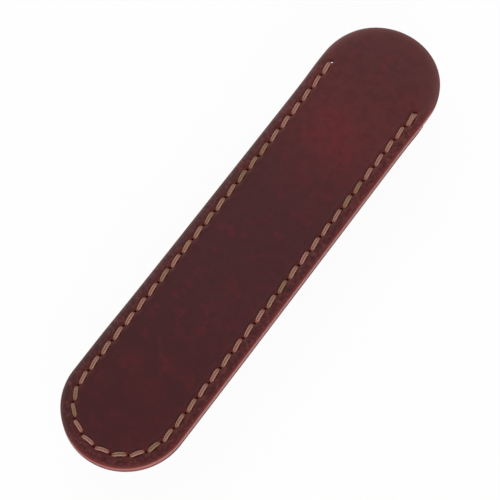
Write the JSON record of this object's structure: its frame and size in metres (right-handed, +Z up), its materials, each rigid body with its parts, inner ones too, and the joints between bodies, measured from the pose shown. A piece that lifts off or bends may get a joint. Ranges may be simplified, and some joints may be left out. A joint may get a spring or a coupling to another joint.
{
  "type": "pen sleeve",
  "caption": "Leather pen sleeve: a long flat back panel saddle-stitched to a shorter formed front panel, so a pen slides in at the open end.",
  "frame": {"origin": "middle of the sleeve's footprint, at the height of the pocket crest that it lies on", "axes": "+X across the sleeve, +Y along it towards the open end, +Z up, from the pocket crest to the back panel"},
  "size_m": [0.0374, 0.165, 0.0164],
  "materials": {
    "leather": "satin",
    "waxed_thread": "satin"
  },
  "bodies": {
    "root": {"back_panel": "leather", "front_panel": "leather", "saddle_thread": "waxed_thread"}
  },
  "joints": []
}
